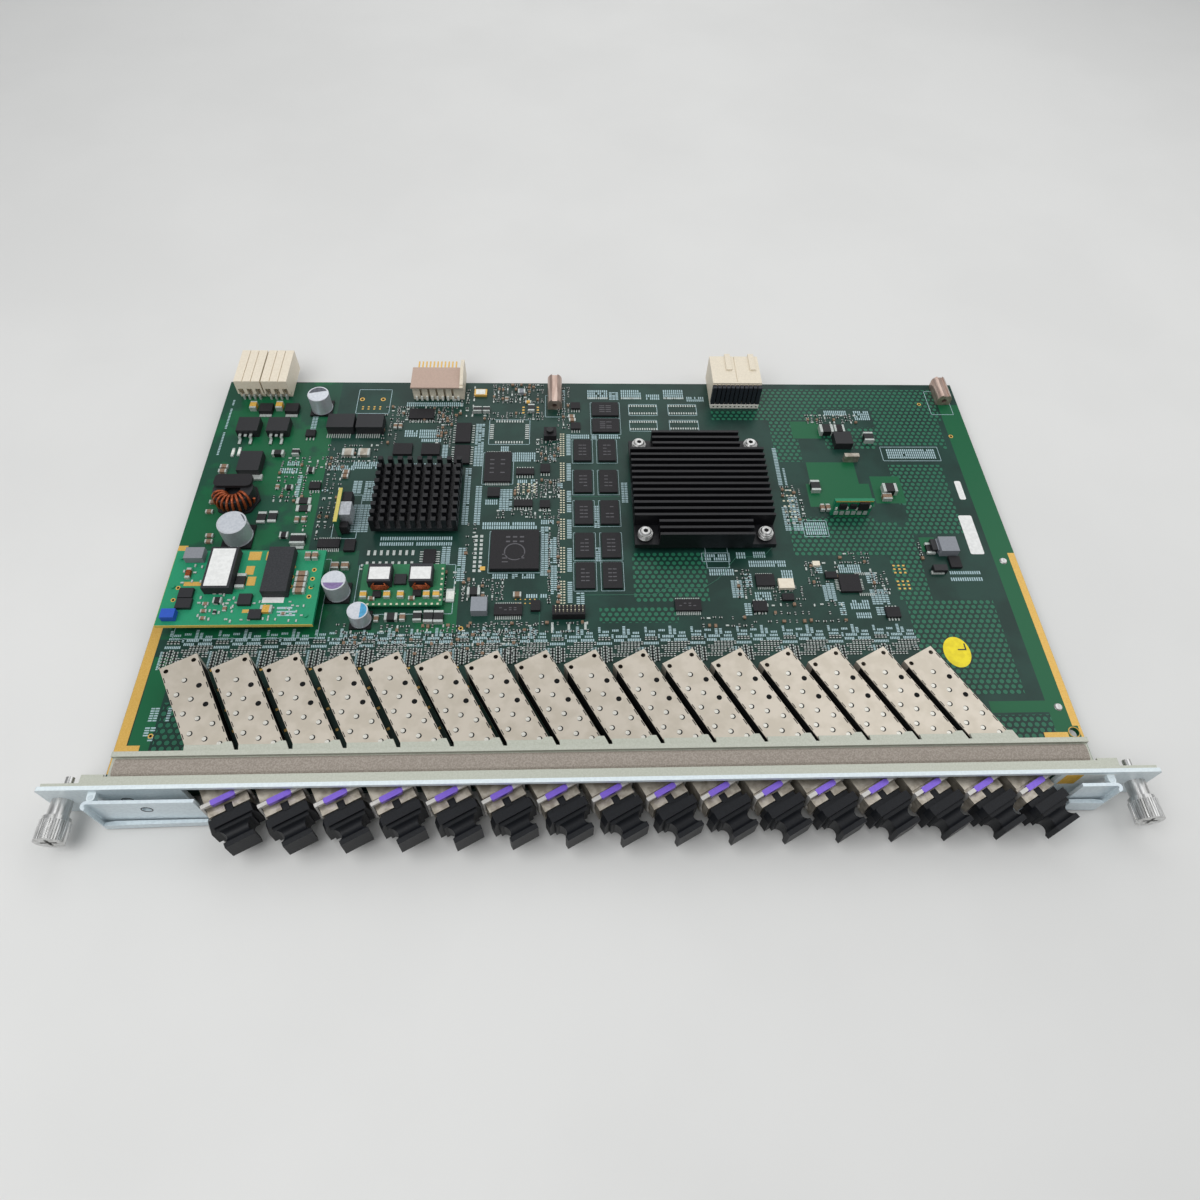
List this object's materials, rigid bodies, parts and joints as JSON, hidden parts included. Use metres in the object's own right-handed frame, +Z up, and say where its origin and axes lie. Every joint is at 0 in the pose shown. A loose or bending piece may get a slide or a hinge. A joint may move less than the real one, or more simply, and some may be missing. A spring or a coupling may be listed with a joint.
{
  "type": "line card",
  "caption": "Plug-in card with a row of slanted optical ports in a narrow face plate, fold-out levers, captive thumb screws, heat sinks and rear connectors.",
  "frame": {"origin": "centre of the bounding box at its lowest level, which is the lower edge of the face plate", "axes": "+X along the face plate, +Y from the face plate towards the rear connectors, +Z up through the components"},
  "size_m": [0.3954, 0.2472, 0.0202],
  "materials": {
    "board": "glossy solder mask",
    "frame": "passivated, satin",
    "plate": "powder coated, satin",
    "gasket": "conductive mesh over foam",
    "cage": "tinned, dull",
    "module": "die cast and stamped, satin",
    "heatsink": "black anodised",
    "screws": "bright plated",
    "brick": "glossy solder mask",
    "ferrite": "moulded, matte",
    "converter": "glossy solder mask",
    "cream": "moulded, matte",
    "dark_plastic": "moulded, matte",
    "pins": "plated",
    "cans": "bright",
    "package": "moulded, matte",
    "lever": "powder coated, satin",
    "knob": "bright plated",
    "plug": "moulded, matte",
    "bail": "coloured plastic, satin",
    "button": "moulded"
  },
  "bodies": {
    "card": {"main_board": "board", "front_frame": "frame", "face_plate": "plate", "shield_gasket": "gasket", "port_cages": "cage", "optical_modules": "module", "plate_heatsink": "heatsink", "pin_heatsink": "heatsink", "heatsink_screws": "screws", "power_module": "brick", "ferrite_cores": "ferrite", "converter_module": "converter", "power_connectors": "cream", "signal_connector": "cream", "data_connector": "dark_plastic", "guide_pins": "pins", "capacitor_cans": "cans", "power_parts": "package", "logic_chips": "package", "memory_chips": "package", "screw_collars": "screws"},
    "button": {"reset_button": "button"},
    "left_lever": {"lever_left": "lever"},
    "right_lever": {"lever_right": "lever"},
    "left_clip": {"screw_clip_left": "screws"},
    "right_clip": {"screw_clip_right": "screws"},
    "left_screw": {"thumb_screw_left": "knob"},
    "right_screw": {"thumb_screw_right": "knob"},
    "plug_01": {"dust_plug_01": "plug"},
    "latch_01": {"bail_01": "bail"},
    "plug_02": {"dust_plug_02": "plug"},
    "latch_02": {"bail_02": "bail"},
    "plug_03": {"dust_plug_03": "plug"},
    "latch_03": {"bail_03": "bail"},
    "plug_04": {"dust_plug_04": "plug"},
    "latch_04": {"bail_04": "bail"},
    "plug_05": {"dust_plug_05": "plug"},
    "latch_05": {"bail_05": "bail"},
    "plug_06": {"dust_plug_06": "plug"},
    "latch_06": {"bail_06": "bail"},
    "plug_07": {"dust_plug_07": "plug"},
    "latch_07": {"bail_07": "bail"},
    "plug_08": {"dust_plug_08": "plug"},
    "latch_08": {"bail_08": "bail"},
    "plug_09": {"dust_plug_09": "plug"},
    "latch_09": {"bail_09": "bail"},
    "plug_10": {"dust_plug_10": "plug"},
    "latch_10": {"bail_10": "bail"},
    "plug_11": {"dust_plug_11": "plug"},
    "latch_11": {"bail_11": "bail"},
    "plug_12": {"dust_plug_12": "plug"},
    "latch_12": {"bail_12": "bail"},
    "plug_13": {"dust_plug_13": "plug"},
    "latch_13": {"bail_13": "bail"},
    "plug_14": {"dust_plug_14": "plug"},
    "latch_14": {"bail_14": "bail"},
    "plug_15": {"dust_plug_15": "plug"},
    "latch_15": {"bail_15": "bail"},
    "plug_16": {"dust_plug_16": "plug"},
    "latch_16": {"bail_16": "bail"}
  },
  "joints": [
    {"name": "plug_01_pull", "type": "slide", "parent": "card", "child": "plug_01", "axis": [0.4767, -0.8791, 0], "range_m": [0, 0.014]},
    {"name": "bail_01_swing", "type": "hinge", "parent": "card", "child": "latch_01", "pos_m": [-0.13481, -0.1065, 0.008], "axis": [0.8791, 0.4767, 0], "range_deg": [0, 27]},
    {"name": "plug_02_pull", "type": "slide", "parent": "card", "child": "plug_02", "axis": [0.4767, -0.8791, 0], "range_m": [0, 0.014]},
    {"name": "bail_02_swing", "type": "hinge", "parent": "card", "child": "latch_02", "pos_m": [-0.11572, -0.1065, 0.008], "axis": [0.8791, 0.4767, 0], "range_deg": [0, 27]},
    {"name": "plug_03_pull", "type": "slide", "parent": "card", "child": "plug_03", "axis": [0.4767, -0.8791, 0], "range_m": [0, 0.014]},
    {"name": "bail_03_swing", "type": "hinge", "parent": "card", "child": "latch_03", "pos_m": [-0.09662, -0.1065, 0.008], "axis": [0.8791, 0.4767, 0], "range_deg": [0, 27]},
    {"name": "plug_04_pull", "type": "slide", "parent": "card", "child": "plug_04", "axis": [0.4767, -0.8791, 0], "range_m": [0, 0.014]},
    {"name": "bail_04_swing", "type": "hinge", "parent": "card", "child": "latch_04", "pos_m": [-0.07753, -0.1065, 0.008], "axis": [0.8791, 0.4767, 0], "range_deg": [0, 27]},
    {"name": "plug_05_pull", "type": "slide", "parent": "card", "child": "plug_05", "axis": [0.4767, -0.8791, 0], "range_m": [0, 0.014]},
    {"name": "bail_05_swing", "type": "hinge", "parent": "card", "child": "latch_05", "pos_m": [-0.05843, -0.1065, 0.008], "axis": [0.8791, 0.4767, 0], "range_deg": [0, 27]},
    {"name": "plug_06_pull", "type": "slide", "parent": "card", "child": "plug_06", "axis": [0.4767, -0.8791, 0], "range_m": [0, 0.014]},
    {"name": "bail_06_swing", "type": "hinge", "parent": "card", "child": "latch_06", "pos_m": [-0.03934, -0.1065, 0.008], "axis": [0.8791, 0.4767, 0], "range_deg": [0, 27]},
    {"name": "plug_07_pull", "type": "slide", "parent": "card", "child": "plug_07", "axis": [0.4767, -0.8791, 0], "range_m": [0, 0.014]},
    {"name": "bail_07_swing", "type": "hinge", "parent": "card", "child": "latch_07", "pos_m": [-0.02024, -0.1065, 0.008], "axis": [0.8791, 0.4767, 0], "range_deg": [0, 27]},
    {"name": "plug_08_pull", "type": "slide", "parent": "card", "child": "plug_08", "axis": [0.4767, -0.8791, 0], "range_m": [0, 0.014]},
    {"name": "bail_08_swing", "type": "hinge", "parent": "card", "child": "latch_08", "pos_m": [-0.00115, -0.1065, 0.008], "axis": [0.8791, 0.4767, 0], "range_deg": [0, 27]},
    {"name": "plug_09_pull", "type": "slide", "parent": "card", "child": "plug_09", "axis": [0.4767, -0.8791, 0], "range_m": [0, 0.014]},
    {"name": "bail_09_swing", "type": "hinge", "parent": "card", "child": "latch_09", "pos_m": [0.01795, -0.1065, 0.008], "axis": [0.8791, 0.4767, 0], "range_deg": [0, 27]},
    {"name": "plug_10_pull", "type": "slide", "parent": "card", "child": "plug_10", "axis": [0.4767, -0.8791, 0], "range_m": [0, 0.014]},
    {"name": "bail_10_swing", "type": "hinge", "parent": "card", "child": "latch_10", "pos_m": [0.03704, -0.1065, 0.008], "axis": [0.8791, 0.4767, 0], "range_deg": [0, 27]},
    {"name": "plug_11_pull", "type": "slide", "parent": "card", "child": "plug_11", "axis": [0.4767, -0.8791, 0], "range_m": [0, 0.014]},
    {"name": "bail_11_swing", "type": "hinge", "parent": "card", "child": "latch_11", "pos_m": [0.05614, -0.1065, 0.008], "axis": [0.8791, 0.4767, 0], "range_deg": [0, 27]},
    {"name": "plug_12_pull", "type": "slide", "parent": "card", "child": "plug_12", "axis": [0.4767, -0.8791, 0], "range_m": [0, 0.014]},
    {"name": "bail_12_swing", "type": "hinge", "parent": "card", "child": "latch_12", "pos_m": [0.07523, -0.1065, 0.008], "axis": [0.8791, 0.4767, 0], "range_deg": [0, 27]},
    {"name": "plug_13_pull", "type": "slide", "parent": "card", "child": "plug_13", "axis": [0.4767, -0.8791, 0], "range_m": [0, 0.014]},
    {"name": "bail_13_swing", "type": "hinge", "parent": "card", "child": "latch_13", "pos_m": [0.09433, -0.1065, 0.008], "axis": [0.8791, 0.4767, 0], "range_deg": [0, 27]},
    {"name": "plug_14_pull", "type": "slide", "parent": "card", "child": "plug_14", "axis": [0.4767, -0.8791, 0], "range_m": [0, 0.014]},
    {"name": "bail_14_swing", "type": "hinge", "parent": "card", "child": "latch_14", "pos_m": [0.11342, -0.1065, 0.008], "axis": [0.8791, 0.4767, 0], "range_deg": [0, 27]},
    {"name": "plug_15_pull", "type": "slide", "parent": "card", "child": "plug_15", "axis": [0.4767, -0.8791, 0], "range_m": [0, 0.014]},
    {"name": "bail_15_swing", "type": "hinge", "parent": "card", "child": "latch_15", "pos_m": [0.13252, -0.1065, 0.008], "axis": [0.8791, 0.4767, 0], "range_deg": [0, 27]},
    {"name": "plug_16_pull", "type": "slide", "parent": "card", "child": "plug_16", "axis": [0.4767, -0.8791, 0], "range_m": [0, 0.014]},
    {"name": "bail_16_swing", "type": "hinge", "parent": "card", "child": "latch_16", "pos_m": [0.15161, -0.1065, 0.008], "axis": [0.8791, 0.4767, 0], "range_deg": [0, 27]},
    {"name": "left_lever_swing", "type": "hinge", "parent": "card", "child": "left_lever", "pos_m": [-0.1792, -0.10629, 0.01], "axis": [0, 0, -1], "range_deg": [0, 70]},
    {"name": "left_screw_push", "type": "slide", "parent": "card", "child": "left_clip", "axis": [0, 1, 0], "range_m": [0, 0.005]},
    {"name": "left_screw_turn", "type": "hinge", "parent": "left_clip", "child": "left_screw", "pos_m": [-0.1926, -0.10439, 0.01], "axis": [0, 1, 0], "continuous": true},
    {"name": "right_lever_swing", "type": "hinge", "parent": "card", "child": "right_lever", "pos_m": [0.1792, -0.10629, 0.01], "axis": [0, 0, 1], "range_deg": [0, 70]},
    {"name": "right_screw_push", "type": "slide", "parent": "card", "child": "right_clip", "axis": [0, 1, 0], "range_m": [0, 0.005]},
    {"name": "right_screw_turn", "type": "hinge", "parent": "right_clip", "child": "right_screw", "pos_m": [0.1926, -0.10439, 0.01], "axis": [0, 1, 0], "continuous": true},
    {"name": "reset_press", "type": "slide", "parent": "card", "child": "button", "axis": [0, 0, -1], "range_m": [0, 0.00025], "stiffness_N_per_m": 400}
  ]
}
